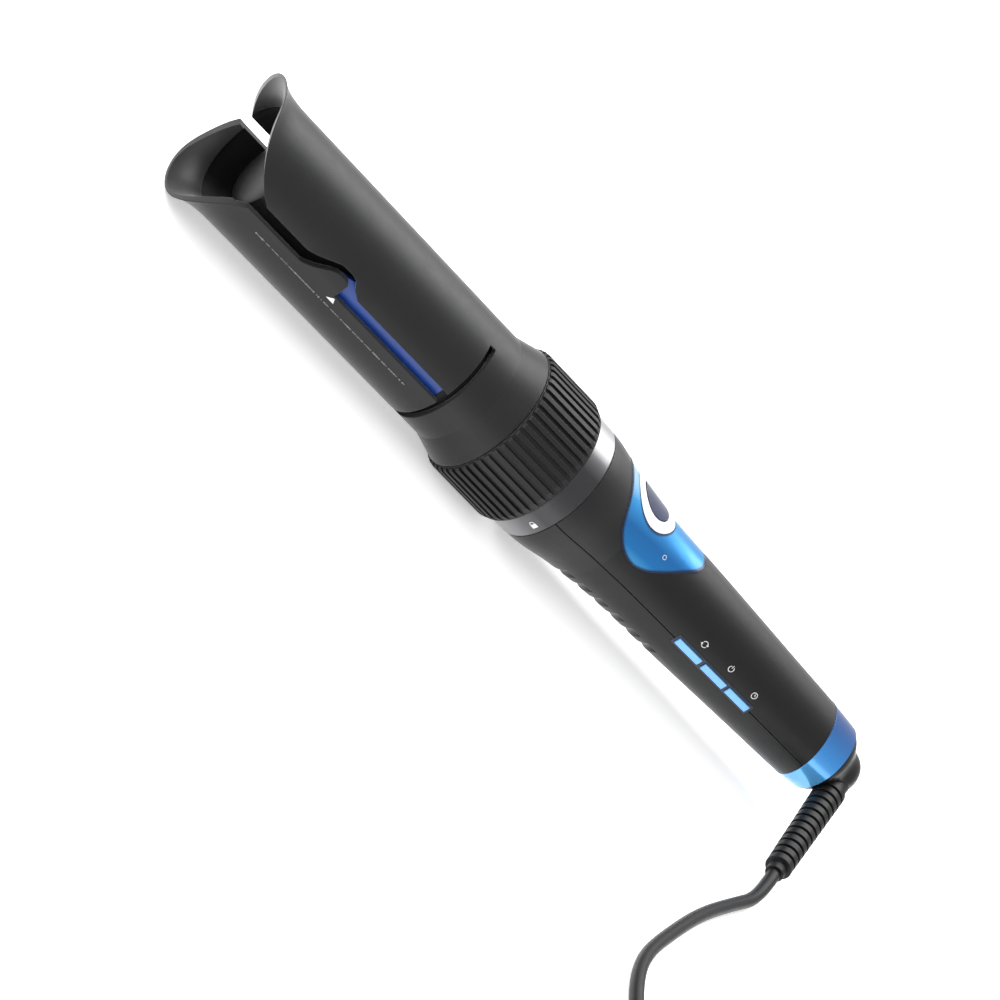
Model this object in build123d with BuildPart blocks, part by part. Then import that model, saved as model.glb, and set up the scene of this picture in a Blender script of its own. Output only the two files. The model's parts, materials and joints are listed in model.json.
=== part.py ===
from build123d import *
import os
from math import cos, degrees, pi, radians, sin, tan

# Automatic hair curler, millimetres.  X runs along the spindle with the mouth at -X and the
# cord end at +X, the control panel faces +Z and the side keys face -Y.  A station is a distance
# along X from the datum, and a height starts at the spindle unless it is said to be above the
# floor.  Outlines are lists of (station, radius) points.

# ---- Driving dimensions: whole tool ---------------------------------------------------
mouth_station = 5.6             # front of the upper petal
end_station = 350.0             # rear of the end cap
datum_x = -(mouth_station + end_station) / 2
ring_tip_radius = 27.2          # ribs and lower lip, which the tool lies on
axis_z = ring_tip_radius
running_gap = 0.08              # between pieces that turn or slide
fit_gap = 0.02                  # between pieces that are fixed in each other
weld = 0.1                      # how far joined shapes of one piece reach into each other
through = 40.0                  # reach of a cut that passes right through

# ---- Cover ----------------------------------------------------------------------------
lower_petal_station = 8.2       # front of the lower petal
bore_radius = 21.0
funnel_radius = 20.0            # narrowest part of the mouth's funnel
funnel_length = 10.2
funnel_rim_radius = 26.5
lip_length = 16.0
cover_front_radius = 23.8
cover_rear_radius = 23.2
cover_cone_start = 134.6
cover_rim = (145.0, 145.7)      # stations of the collar's widest band
collar_radius = 25.9
bore_end = 142.0
skirt_start = 143.0
skirt_end = 154.0
skirt_radius = 23.8
skirt_bore = 22.2
slot_half_height = 2.3
slot_start = 15.0
slot_end = 123.5
slit_width = 2.8                # cross slit at the slot's rear
slit_reach = 20.5
lobe_start = 48.0
lobe_height = 4.4
lobe_end = 66.5
notch_height = 7.2
notch_end = 73.0
# Rims of the petals, from the tip to the slot.  They are cut back further on the front side,
# where the hair goes in.
upper_tip = (5.4, 29.0)
lower_tip = (8.0, -29.0)
front_upper_rim = [(5.9, 24.6), (7.2, 20.7), (9.9, 16.2), (14.0, 11.3), (19.0, 6.8), (26.0, 2.3)]
front_lower_rim = [
    (8.6, -24.5), (9.6, -20.5), (11.4, -16.0), (13.6, -11.8), (16.6, -7.4), (19.8, -4.2), (22.3, -2.3),
]
back_upper_rim = [(5.9, 24.6), (6.7, 20.7), (8.2, 16.2), (10.4, 11.3), (13.2, 6.8), (17.0, 2.3)]
back_lower_rim = [(8.6, -24.5), (9.6, -20.5), (11.2, -16.0), (12.8, -11.8), (14.4, -7.4), (16.5, -2.3)]
lug_count = 3
lug_angle = 56.0
lug_radius = 24.9
cover_lug_span = (150.4, 153.0)
ring_lug_span = (146.3, 149.8)
ring_lug_bore = 24.1

# ---- Rotor and gears ------------------------------------------------------------------
rotor_radius = 20.2
rotor_bore = 18.7
rotor_front = 71.0
rotor_hook_front = 59.0
hook_gap_points = [
    (50.0, 30.0), (rotor_front, 30.0), (rotor_front, 5.5), (61.5, 3.2),
    (61.5, -1.5), (rotor_front, -6.5), (rotor_front, -30.0), (50.0, -30.0),
]
sleeve_rear = 119.8
hub_front = 128.0
rotor_rear = 140.0
gear_module = 0.9
ring_teeth = 40
pinion_teeth = 12
pressure_angle = 20.0
tooth_share = 0.43              # of the pitch, so that the teeth have backlash
addendum = 0.75                 # these two in modules
dedendum = 1.15
tip_flank = 0.9
gear_front = 142.0
gear_rear = 149.0
gear_web = 0.5
motor_drop = gear_module * (ring_teeth - pinion_teeth) / 2
shaft_radius = 1.5
shaft_rear = 156.4

# ---- Barrel and heater ----------------------------------------------------------------
barrel_radius = 14.0
barrel_wall = 1.2
barrel_front = 27.0
barrel_rear = 126.0
plug_radius = 12.75             # of the pieces that fill the barrel's ends
tip_front = 25.0
tip_rear = 33.0
bush_front = 118.0
bush_radius = 15.0
bush_shoulder = 141.0
stub_radius = 5.8
stub_bore = 4.4
nut_radius = 7.9
nut_width = 3.6
spreader_span = (38.0, 112.0)
spreader_slot = (-2.3, 2.3)
spreader_hole_radius = 1.7
spreader_hole_across = 9.5
spreader_pocket = ((90.0, 113.0), (-3.0, 3.0), (2.0, 7.0))
heater_box = ((40.0, 110.0), (-7.5, 7.5), (-2.2, 2.2))
sensor_span = (92.0, 98.0)
sensor_radius = 1.5
sensor_height = 4.4
fuse_span = (101.0, 110.0)
fuse_radius = 1.9
fuse_height = 4.6

# ---- Chassis and motor ----------------------------------------------------------------
wall_front = 150.0
wall_rear = 152.5
spigot_radius = 22.0
seat_radius = 24.92             # of the ribbed ring's seat
seat_front = 154.6
seat_rear = 174.7
mark_seat_radius = 24.0
chassis_rear = 183.9
chassis_tail = 188.0
tongue_radius = 21.9
chassis_bore = 20.9
cup_corner = (157.5, 19.6)      # station where the bore starts, and radius at the wall
screw_radius = 1.0
screw_head_radius = 1.9
screw_across = 9.5
screw_span = (149.2, 154.5)
gearbox_span = (157.0, 166.0)
gearbox_neck_radius = 4.2
gearbox_foot = ((wall_rear, 154.5), (-11.8, 11.8), (-15.2, -9.2))
shaft_room = 0.5
motor_radius = 7.8
motor_step = 0.2
motor_span = (166.0, 189.0)
motor_boss_radius = 3.0
motor_boss_length = 1.5
motor_flat = 6.2

# ---- Ribbed and marked rings ----------------------------------------------------------
ring_front = 146.0
ring_rear = 174.5
ring_base_radius = 26.2
ring_bore = 25.0
ring_edge_radius = 25.9
rib_count = 50
rib_half_width = 0.9
rib_points = [
    (146.3, 26.0), (146.3, 26.6), (147.1, 27.1), (148.2, ring_tip_radius),
    (171.5, ring_tip_radius), (173.9, 26.3), (173.9, 26.0),
]
mark_ring_points = [
    (174.8, 24.0), (174.8, 25.1), (175.2, 25.3), (183.4, 25.1), (183.85, 24.8), (183.85, 24.0),
]

# ---- Handle ---------------------------------------------------------------------------
# Outline of the handle's skin, tail ring included.
handle_outline = [
    (184, 24.9), (194, 23.8), (201, 22.4), (209, 21.3), (218, 20.3), (225, 19.7),
    (248, 18.8), (264, 18.2), (287, 17.2), (303, 16.5), (324, 15.6), (335, 14.8),
]
shell_wall = 2.0
parting_height = -1.4
seam_half_width = 0.2
seam_depth = 0.5
tail_station = 324.5
tail_slant = 8.0
tail_end = 334.8
groove_stations = [209.0, 217.6, 226.2, 234.8, 243.4, 252.0]
groove_cutter_radius = 4.5
groove_depth = 0.8
groove_start = 130.0
groove_arc = 100.0
screw_stations = [247.5, 300.0]
post_radius = 3.0
post_hole_top = 8.0
post_hole_radius = 1.2
shell_screw_radius = 1.15
shell_screw_hole_radius = 1.3
shell_screw_top = 7.0
shell_head_radius = 2.2
shell_head_depth = (0.8, 3.0)   # below the skin

# ---- Control panel --------------------------------------------------------------------
shield_points = [
    (193.5, 24.6), (197.5, 20.9), (202.0, 13.7), (210.0, 7.6), (216.0, 6.2), (222.0, 7.5),
    (226.0, 9.7), (230.5, 12.4), (235.0, 15.0), (241.0, 17.9), (244.0, 20.5),
]
shield_top = 32.0
panel_depth = 1.0
panel_proud = 0.15
light_proud = 0.3
disc_proud = 0.55
disc_station = 212.0
disc_radius = 7.4
disc_depth = 4.0
disc_stem = (7.8, 18.5)
disc_stem_radius = 1.8
light_radius = 11.6
light_bore = 7.8
control_board_box = ((197.0, 244.0), (-13.5, 13.5), (1.0, 2.6))
start_switch_box = ((disc_station - 3, disc_station + 3), (-3.0, 3.0), (2.6, 6.0))
start_switch_pin = (6.0, 6.8)
start_switch_pin_radius = 1.6
board_boxes = [
    ((199, 206), (-9, -3), (2.6, 6.2)),
    ((199, 207), (3, 11), (2.6, 7.5)),
    ((219, 229), (-10, -3), (2.6, 8.0)),
    ((220, 226), (4, 10), (2.6, 4.0)),
    ((231, 235), (4, 9), (2.6, 5.6)),
    ((232, 239), (-8, -2), (2.6, 4.2)),
]

# ---- Side keys ------------------------------------------------------------------------
key_spans = {"direction": (252.0, 264.5), "power": (266.5, 278.5), "timer": (280.3, 291.6)}
key_half_height = 1.3
key_proud = 0.7
key_depth = 9.0
key_inner = -13.0
bezel_span = (250.8, 292.8)
bezel_half_height = 2.3
bezel_proud = 0.12
bezel_depth = 3.2
side_reach = (-30.0, -8.0)      # across, from outside the skin to inside the shell
key_board_box = ((250.0, 294.0), (-8.6, -7.4), (-8.0, 5.5))
key_switch_boxes = [(2.6, (-11.3, -8.6)), (1.0, (-12.0, -11.3))]    # half width and range across

# ---- Wires, swivel and strain relief --------------------------------------------------
wire_radius = 0.9
wire_height = -0.2
heater_lead_span = (112.2, 203.0)
heater_lead_across = 1.6
supply_lead_span = (240.0, 307.0)
supply_lead_across = 5.4
spindle_radius = 4.0
spindle_front = 311.0
bearing_front = 318.0
bearing_radius = 12.3
bearing_gap = 0.06
cap_points = [
    (335.4, 14.2), (338.5, 12.6), (341.7, 9.9), (345.5, 8.8), (348.6, 6.8), (end_station, 0.0),
]
clip_span = (316.2, 317.5)
clip_radius = 6.5
contact_span = (311.0, 315.0)
contact_radius = 7.5
brush_span = (307.2, 310.8)
brush_across = (4.4, 6.8)
brush_heights = (-1.3, 1.1)
relief_start = (167.5, -3.5, 26.4)      # centre of its root and of its mouth, above the floor
relief_end = (151.5, -56.5, 7.2)
relief_root_radius = 4.9
relief_mouth_radius = 3.4
relief_rib_count = 13
relief_rib_width = 2.5
relief_rib_start = 7.5
relief_rib_room = 10.0
relief_rib_radius = 5.7
relief_rib_taper = 0.9

# ---- Cord and plug, (x, y, height above the floor) ------------------------------------
cord_diameter = 5.0
floor_height = cord_diameter / 2 + 0.1
cord_route = [
    relief_end,
    (146.5, -72.0, 3.2),
    (132.0, -88.5, floor_height),
    (112.5, -112.5, floor_height),
    (95.0, -139.0, floor_height),
    (78.0, -167.0, floor_height),
    (72.5, -189.0, floor_height),
    (73.0, -214.0, floor_height),
    (68.4, -239.0, floor_height),
    (68.4, -262.0, floor_height),
]
plug_route = [
    (105.5, -297.0, 12.7),
    (123.5, -296.5, 11.3),
    (139.5, -297.7, 8.8),
    (155.5, -300.0, 7.9),
]
arc_share = 0.45                # of a straight run that the arc at each of its ends may take
coil_centre = (103.5, -262.0)
coil_middle_radius = 30.0
coil_half_width = 8.0
coil_height = 15.5
coil_rounding = 2.4
tie_wall = 0.55
tie_gap = 0.15
tie_rounding = 3.0
tie_half_width = 2.0
plug_neck_size = 9.0
plug_neck_length = 14.0
plug_size = (15.0, 20.0)
plug_rounding = (3.0, 5.0)      # of its neck and of its front
plug_length = 34.0
blade_length = 17.0
blade_size = (6.3, 1.5)
blade_half_spacing = 6.35

spindle = Axis((0, 0, axis_z), (1, 0, 0))
os.makedirs("parts", exist_ok=True)


# ---- Helpers ------------------------------------------------------------------------
def side_plane(angle=0.0):
    """Plane through the spindle: x is the station, y points outward, `angle` from +Z towards -Y."""
    a = radians(angle)
    return Plane(origin=(datum_x, 0, axis_z), x_dir=(1, 0, 0), z_dir=(0, -cos(a), -sin(a)))


def station_plane(station, height=0.0):
    """Plane square to the spindle at a station, x towards +Y and y towards +Z."""
    return Plane(origin=(datum_x + station, 0, axis_z + height), x_dir=(0, 1, 0), z_dir=(1, 0, 0))


def outline_face(points, angle=0.0):
    """Straight-sided face on a side plane."""
    with BuildSketch(side_plane(angle)) as face:
        with BuildLine():
            Polyline(*points, close=True)
        make_face()
    return face.sketch


def turn(points, arc=360.0, start=0.0):
    """Turn an outline about the spindle, in the part being built."""
    revolve(outline_face(points, start), axis=spindle, revolution_arc=arc)


def tube_between(front, rear, outer, inner=0.0, height=0.0, mode=Mode.ADD):
    """Round tube or rod along X, in the part being built."""
    with BuildSketch(station_plane(front, height)) as ring:
        Circle(outer)
        if inner > 0:
            Circle(inner, mode=Mode.SUBTRACT)
    extrude(ring.sketch, amount=rear - front, mode=mode)


def block(stations, across, heights, mode=Mode.ADD):
    """Box from ranges of station, Y and height, in the part being built."""
    ranges = (stations, across, heights)
    middle = [sum(ends) / 2 for ends in ranges]
    with Locations((datum_x + middle[0], middle[1], axis_z + middle[2])):
        Box(*[max(ends) - min(ends) for ends in ranges], mode=mode)


def upright(station, bottom, top, radius, mode=Mode.ADD):
    """Upright round pin between two heights, in the part being built."""
    with BuildSketch(Plane.XY.offset(axis_z + bottom)) as disc:
        with Locations((datum_x + station, 0)):
            Circle(radius)
    extrude(disc.sketch, amount=top - bottom, mode=mode)


def pin_pair(front, rear, across, height, radius, mode=Mode.ADD):
    """Two round rods along X, one each side of the middle, in the part being built."""
    with BuildSketch(station_plane(front, height)) as discs:
        with Locations((-across, 0), (across, 0)):
            Circle(radius)
    extrude(discs.sketch, amount=rear - front, mode=mode)


def skin_band(outer, inner):
    """Face between two copies of the handle's outline, offset outward from its skin."""
    with BuildSketch(side_plane()) as band:
        with BuildLine():
            top = Spline(*[(s, r + outer) for s, r in handle_outline])
            bottom = Spline(*[(s, r + inner) for s, r in handle_outline])
            Line(top @ 0, bottom @ 0)
            Line(top @ 1, bottom @ 1)
        make_face()
    return band.sketch


def skin_radius(station):
    """Radius of the handle's skin at a station."""
    for (s0, r0), (s1, r1) in zip(handle_outline, handle_outline[1:]):
        if s0 <= station <= s1:
            return r0 + (r1 - r0) * (station - s0) / (s1 - s0)
    raise ValueError(station)


def finish_part(builder, name):
    """Label a finished piece and write its file."""
    builder.part.label = name
    export_step(builder.part, f"parts/{name}.step")


# ---- Outer cover: two petals joined to a collar ---------------------------------------
def petal_wall(rim, angle):
    """Wall section of one petal and the collar, its flared lip starting at station `rim`."""
    with BuildSketch(side_plane(angle)) as wall:
        with BuildLine():
            lip = Bezier(
                (rim, ring_tip_radius),
                (rim + 3.5, 24.9),
                (rim + 8, 23.9),
                (rim + lip_length, cover_front_radius),
            )
            Polyline(
                lip @ 1,
                (cover_cone_start, cover_rear_radius),
                (cover_rim[0], collar_radius),
                (cover_rim[1], collar_radius),
                (cover_rim[1], skirt_radius),
                (skirt_end, skirt_radius),
                (skirt_end, skirt_bore),
                (skirt_start, skirt_bore),
                (bore_end, bore_radius),
                (rim + funnel_length, bore_radius),
                (rim + funnel_length, funnel_radius),
            )
            funnel = Bezier(
                (rim + funnel_length, funnel_radius),
                (rim + 6, 20.9),
                (rim + 2.4, 22.8),
                (rim, funnel_rim_radius),
            )
            Line(funnel @ 1, lip @ 0)
        make_face()
    return wall.sketch


def mouth_face(upper_points, lower_points):
    """Face that is cut away ahead of the two petals' rims."""
    with BuildSketch(side_plane()) as mouth:
        with BuildLine():
            Line(upper_tip, upper_points[0])
            Spline(*upper_points)
            Line(upper_points[-1], lower_points[-1])
            Spline(*lower_points)
            Polyline(
                lower_points[0],
                lower_tip,
                (-through, lower_tip[1]),
                (-through, upper_tip[1]),
                upper_tip,
            )
        make_face()
    return mouth.sketch


with BuildSketch(side_plane()) as slot_cut:
    with BuildLine():
        lower_lip = Spline(
            (lobe_start, -slot_half_height), (54.5, 0.6), (62.0, lobe_height),
            tangents=[(1, 0), (1, 0)], tangent_scalars=[0.6, 1.0],
        )
        upper_lip = Spline(
            (60.5, notch_height), (53.5, 4.6), (lobe_start - 2, slot_half_height),
            tangents=[(-1, 0), (-1, 0)], tangent_scalars=[0.7, 0.6],
        )
        Polyline((slot_start, slot_half_height), (slot_start, -slot_half_height), lower_lip @ 0)
        Polyline(
            lower_lip @ 1,
            (lobe_end - 0.9, lobe_height),
            (lobe_end, lobe_height - 0.9),
            (lobe_end, -slot_half_height),
            (slot_end - slit_width, -slot_half_height),
            (slot_end - slit_width, -slit_reach),
            (slot_end, -slit_reach),
            (slot_end, slit_reach),
            (slot_end - slit_width, slit_reach),
            (slot_end - slit_width, slot_half_height),
            (notch_end, slot_half_height),
            (69.5, 4.2),
            (67.0, 6.6),
            (64.5, notch_height),
            upper_lip @ 0,
        )
        Line(upper_lip @ 1, (slot_start, slot_half_height))
    make_face()

with BuildPart() as outer_cover:
    revolve(petal_wall(mouth_station, -90), axis=spindle, revolution_arc=180)
    revolve(petal_wall(lower_petal_station, 90), axis=spindle, revolution_arc=180)
    extrude(mouth_face(front_upper_rim, front_lower_rim), amount=through, mode=Mode.SUBTRACT)
    extrude(mouth_face(back_upper_rim, back_lower_rim), amount=-through, mode=Mode.SUBTRACT)
    extrude(slot_cut.sketch, amount=through, both=True, mode=Mode.SUBTRACT)
    lug_front, lug_rear = cover_lug_span
    lug_root = skirt_radius - 3 * weld
    for index in range(lug_count):
        start = index * 360 / lug_count - lug_angle / 2
        outline = [
            (lug_front, lug_root), (lug_front, lug_radius), (lug_rear, lug_radius), (lug_rear, lug_root),
        ]
        turn(outline, arc=lug_angle, start=start)
finish_part(outer_cover, "outer_cover")

# ---- Hair rotor with its pick-up hooks, hub and ring gear ------------------------------
with BuildPart() as hair_rotor:
    tube_between(rotor_hook_front, sleeve_rear, rotor_radius, rotor_bore)
    hook_gap = outline_face(hook_gap_points)
    extrude(hook_gap, amount=through, both=True, mode=Mode.SUBTRACT)
finish_part(hair_rotor, "hair_rotor")

with BuildPart() as rotor_hub:
    tube_between(sleeve_rear, rotor_rear, rotor_radius, rotor_bore)
    tube_between(hub_front, rotor_rear, rotor_bore + weld, bush_radius + running_gap)
finish_part(rotor_hub, "rotor_hub")


def tooth_points(teeth, internal, turned):
    """Outline of one tooth about its gear's centre, its middle at the angle `turned`."""
    pitch_radius = gear_module * teeth / 2
    side = -1 if internal else 1
    pitch_half = 180 / teeth * tooth_share
    flank = degrees(tan(radians(pressure_angle)) * gear_module / pitch_radius)
    half = [
        (pitch_radius - side * dedendum * gear_module, pitch_half + flank),
        (pitch_radius, pitch_half),
        (pitch_radius + side * addendum * gear_module, pitch_half - tip_flank * flank),
    ]
    outline = [(r, -a) for r, a in half] + [(r, a) for r, a in reversed(half)]
    return [(r * cos(radians(a + turned)), r * sin(radians(a + turned))) for r, a in outline]


def tooth(teeth, internal, height, turned):
    """One gear tooth, in the part being built."""
    with BuildSketch(station_plane(gear_front, height)) as face:
        with BuildLine():
            Polyline(*tooth_points(teeth, internal, turned), close=True)
        make_face()
    extrude(face.sketch, amount=gear_rear - gear_front)


ring_root = gear_module * (ring_teeth / 2 + dedendum)
with BuildPart() as ring_gear:
    tube_between(gear_front, gear_rear, rotor_radius, ring_root - weld / 2)
    for index in range(ring_teeth):
        tooth(ring_teeth, True, 0, -90 + index * 360 / ring_teeth)
    tube_between(rotor_rear, gear_front + gear_web, rotor_radius, ring_root + 2 * weld)
finish_part(ring_gear, "ring_gear")

pinion_root = gear_module * (pinion_teeth / 2 - dedendum)
with BuildPart() as drive_pinion:
    tube_between(gear_front, gear_rear, pinion_root + weld / 2, height=-motor_drop)
    for index in range(pinion_teeth):
        tooth(pinion_teeth, False, -motor_drop, -90 + (index + 0.5) * 360 / pinion_teeth)
    tube_between(gear_front - 0.8, shaft_rear, shaft_radius, height=-motor_drop)
finish_part(drive_pinion, "drive_pinion")

# ---- Heated barrel on its insulating bush ----------------------------------------------
barrel_bore = barrel_radius - barrel_wall
with BuildPart() as heated_barrel:
    tube_between(barrel_front, barrel_rear, barrel_radius, barrel_bore)
finish_part(heated_barrel, "heated_barrel")

with BuildPart() as barrel_tip:
    with BuildSketch(side_plane()) as tip_profile:
        with BuildLine():
            dome = Bezier(
                (tip_front, 0), (tip_front, 7), (tip_front + weld, 13.6), (barrel_front, barrel_radius),
            )
            Polyline(
                dome @ 1, (barrel_front, plug_radius), (tip_rear, plug_radius), (tip_rear, 0), dome @ 0,
            )
        make_face()
    revolve(tip_profile.sketch, axis=spindle)
finish_part(barrel_tip, "barrel_tip")

with BuildPart() as barrel_bush:
    turn([
        (bush_front, stub_bore), (bush_front, plug_radius), (barrel_rear, plug_radius),
        (barrel_rear, bush_radius), (bush_shoulder, bush_radius), (bush_shoulder, stub_radius),
        (shaft_rear, stub_radius), (shaft_rear, stub_bore),
    ])
finish_part(barrel_bush, "barrel_bush")

with BuildPart() as barrel_nut:
    with BuildSketch(station_plane(wall_rear)):
        RegularPolygon(nut_radius, 6, rotation=30)
        Circle(stub_radius, mode=Mode.SUBTRACT)
    extrude(amount=nut_width)
finish_part(barrel_nut, "barrel_nut")

with BuildPart() as heater_element:
    block(*heater_box)
finish_part(heater_element, "heater_element")

with BuildPart() as heat_spreaders:
    spreader_front, spreader_rear = spreader_span
    cut_span = (spreader_front - 1, spreader_rear + 1)
    tube_between(*spreader_span, barrel_bore - weld / 2)
    block(cut_span, (-barrel_radius, barrel_radius), spreader_slot, mode=Mode.SUBTRACT)
    pin_pair(*cut_span, spreader_hole_across, 0, spreader_hole_radius, mode=Mode.SUBTRACT)
    block(*spreader_pocket, mode=Mode.SUBTRACT)
finish_part(heat_spreaders, "heat_spreaders")

with BuildPart() as thermal_sensor:
    tube_between(*sensor_span, sensor_radius, height=sensor_height)
finish_part(thermal_sensor, "thermal_sensor")

with BuildPart() as thermal_fuse:
    tube_between(*fuse_span, fuse_radius, height=fuse_height)
finish_part(thermal_fuse, "thermal_fuse")

# ---- Chassis, motor and gearbox --------------------------------------------------------
with BuildPart() as chassis:
    turn([
        (wall_front, stub_radius), (wall_front, spigot_radius), (seat_front, spigot_radius),
        (seat_front, seat_radius), (seat_rear, seat_radius), (seat_rear, mark_seat_radius),
        (chassis_rear, mark_seat_radius), (chassis_rear, tongue_radius), (chassis_tail, tongue_radius),
        (chassis_tail, chassis_bore), (cup_corner[0], chassis_bore), (wall_rear, cup_corner[1]),
        (wall_rear, stub_radius),
    ])
    wall_cut = (wall_front - 1, wall_rear + 1)
    shaft_hole = shaft_radius + running_gap
    tube_between(*wall_cut, shaft_hole, height=-motor_drop, mode=Mode.SUBTRACT)
    pin_pair(*wall_cut, screw_across, -motor_drop, screw_radius + fit_gap, mode=Mode.SUBTRACT)
finish_part(chassis, "chassis")

with BuildPart() as gearbox_case:
    foot_rear = gearbox_foot[0][1] + shaft_room
    tube_between(*gearbox_span, motor_radius, height=-motor_drop)
    tube_between(
        wall_rear, gearbox_span[0], gearbox_neck_radius, shaft_radius + shaft_room, height=-motor_drop,
    )
    block(*gearbox_foot)
    tube_between(wall_rear, foot_rear, shaft_radius + shaft_room, height=-motor_drop, mode=Mode.SUBTRACT)
    pin_pair(
        wall_rear, foot_rear, screw_across, -motor_drop, screw_radius + fit_gap, mode=Mode.SUBTRACT,
    )
finish_part(gearbox_case, "gearbox_case")

with BuildPart() as motor_can:
    motor_front, motor_rear = motor_span
    boss_rear = motor_rear + motor_boss_length
    flat_reach = motor_radius + 1
    tube_between(*motor_span, motor_radius - motor_step, height=-motor_drop)
    tube_between(motor_rear, boss_rear, motor_boss_radius, height=-motor_drop)
    for side in (-1, 1):
        across = (side * motor_flat, side * flat_reach)
        heights = (-motor_drop - flat_reach, -motor_drop + flat_reach)
        block((motor_front - weld, motor_rear + 1), across, heights, mode=Mode.SUBTRACT)
finish_part(motor_can, "motor_can")

with BuildPart() as motor_screws:
    pin_pair(screw_span[0], wall_front, screw_across, -motor_drop, screw_head_radius)
    pin_pair(wall_front, screw_span[1], screw_across, -motor_drop, screw_radius)
finish_part(motor_screws, "motor_screws")

# ---- Locking ring and marked ring ------------------------------------------------------
with BuildPart() as lock_ring:
    turn([
        (ring_front, ring_bore + weld), (ring_front, ring_edge_radius), (ring_front + 0.5, ring_base_radius),
        (ring_rear - 0.3, ring_base_radius), (ring_rear, ring_edge_radius), (ring_rear, ring_bore),
        (seat_front + weld, ring_bore), (seat_front + weld, ring_bore + weld),
    ])
    for index in range(rib_count):
        rib = outline_face(rib_points, 180 + index * 360 / rib_count)
        extrude(rib, amount=rib_half_width, both=True)
    lug_front, lug_rear = ring_lug_span
    lug_root = ring_bore + 3 * weld
    for index in range(lug_count):
        start = (index + 0.5) * 360 / lug_count - lug_angle / 2
        outline = [
            (lug_front, ring_lug_bore), (lug_front, lug_root),
            (lug_rear, lug_root), (lug_rear, ring_lug_bore),
        ]
        turn(outline, arc=lug_angle, start=start)
finish_part(lock_ring, "lock_ring")

with BuildPart() as mark_ring:
    turn(mark_ring_points)
finish_part(mark_ring, "mark_ring")

# ---- Handle shells ---------------------------------------------------------------------
parting_plane = Plane.XY.offset(axis_z + parting_height)
slant = radians(tail_slant)
tail_plane = Plane(origin=(datum_x + tail_station, 0, axis_z), z_dir=(cos(slant), 0, sin(slant)))

with BuildSketch(side_plane()) as panel_zone:
    with BuildLine():
        shield = Spline(*shield_points)
        Polyline(
            shield @ 1,
            (shield_points[-1][0], shield_top),
            (shield_points[0][0], shield_top),
            shield @ 0,
        )
    make_face()

with BuildPart() as panel_seat:
    revolve(skin_band(1.0, -panel_depth), axis=spindle)
    extrude(panel_zone.sketch, amount=through, both=True, mode=Mode.INTERSECT)

with BuildPart() as seam_groove:
    revolve(skin_band(1.0, -seam_depth), axis=spindle)
    seam_heights = (parting_height - seam_half_width, parting_height + seam_half_width)
    seam_stations = (handle_outline[0][0], handle_outline[-1][0])
    block(seam_stations, (-through, through), seam_heights, mode=Mode.INTERSECT)

with BuildPart() as handle_upper_shell:
    revolve(skin_band(0, -shell_wall), axis=spindle)
    split(bisect_by=parting_plane, keep=Keep.TOP)
    split(bisect_by=tail_plane, keep=Keep.BOTTOM)
    add(panel_seat.part, mode=Mode.SUBTRACT)
    add(seam_groove.part, mode=Mode.SUBTRACT)
    upright(disc_station, 5, through, light_bore - 2 * weld, mode=Mode.SUBTRACT)
    block(bezel_span, side_reach, (-9, parting_height + bezel_half_height), mode=Mode.SUBTRACT)
    for station in screw_stations:
        upright(station, parting_height, skin_radius(station) - shell_wall / 2, post_radius)
        upright(station, parting_height, post_hole_top, post_hole_radius, mode=Mode.SUBTRACT)
finish_part(handle_upper_shell, "handle_upper_shell")

with BuildPart() as handle_lower_shell:
    revolve(skin_band(0, -shell_wall), axis=spindle)
    split(bisect_by=parting_plane, keep=Keep.BOTTOM)
    split(bisect_by=tail_plane, keep=Keep.BOTTOM)
    add(seam_groove.part, mode=Mode.SUBTRACT)
    block(bezel_span, side_reach, (parting_height - bezel_half_height, 5), mode=Mode.SUBTRACT)
    for station in groove_stations:
        with BuildSketch(side_plane(groove_start)) as groove:
            with Locations((station, skin_radius(station) + groove_cutter_radius - groove_depth)):
                Circle(groove_cutter_radius)
        revolve(groove.sketch, axis=spindle, revolution_arc=groove_arc, mode=Mode.SUBTRACT)
    for station in screw_stations:
        skin = -skin_radius(station)
        upright(station, skin + shell_wall / 2, parting_height, post_radius)
        upright(station, -through, parting_height, shell_screw_hole_radius, mode=Mode.SUBTRACT)
        upright(station, -through, skin + shell_head_depth[1], shell_head_radius + weld, mode=Mode.SUBTRACT)
finish_part(handle_lower_shell, "handle_lower_shell")

with BuildPart() as shell_screws:
    for station in screw_stations:
        head_bottom, head_top = [depth - skin_radius(station) for depth in shell_head_depth]
        upright(station, head_top, shell_screw_top, shell_screw_radius)
        upright(station, head_bottom, head_top, shell_head_radius)
finish_part(shell_screws, "shell_screws")

# ---- Control panel: shield, light ring and start button --------------------------------
with BuildPart() as panel_lens:
    revolve(skin_band(panel_proud, -panel_depth), axis=spindle)
    extrude(panel_zone.sketch, amount=through, both=True, mode=Mode.INTERSECT)
    upright(disc_station, 0, through, light_radius, mode=Mode.SUBTRACT)
finish_part(panel_lens, "panel_lens")

with BuildPart() as light_ring:
    revolve(skin_band(light_proud, -panel_depth), axis=spindle)
    upright(disc_station, 5, through, light_radius - fit_gap, mode=Mode.INTERSECT)
    upright(disc_station, 0, through, light_bore, mode=Mode.SUBTRACT)
finish_part(light_ring, "light_ring")

with BuildPart() as start_button:
    revolve(skin_band(disc_proud, -disc_depth), axis=spindle)
    upright(disc_station, 5, through, disc_radius, mode=Mode.INTERSECT)
    upright(disc_station, *disc_stem, disc_stem_radius)
finish_part(start_button, "start_button")

with BuildPart() as control_board:
    block(*control_board_box)
finish_part(control_board, "control_board")

with BuildPart() as start_switch:
    block(*start_switch_box)
    upright(disc_station, *start_switch_pin, start_switch_pin_radius)
finish_part(start_switch, "start_switch")

with BuildPart() as board_parts:
    for box in board_boxes:
        block(*box)
finish_part(board_parts, "board_parts")

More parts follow.
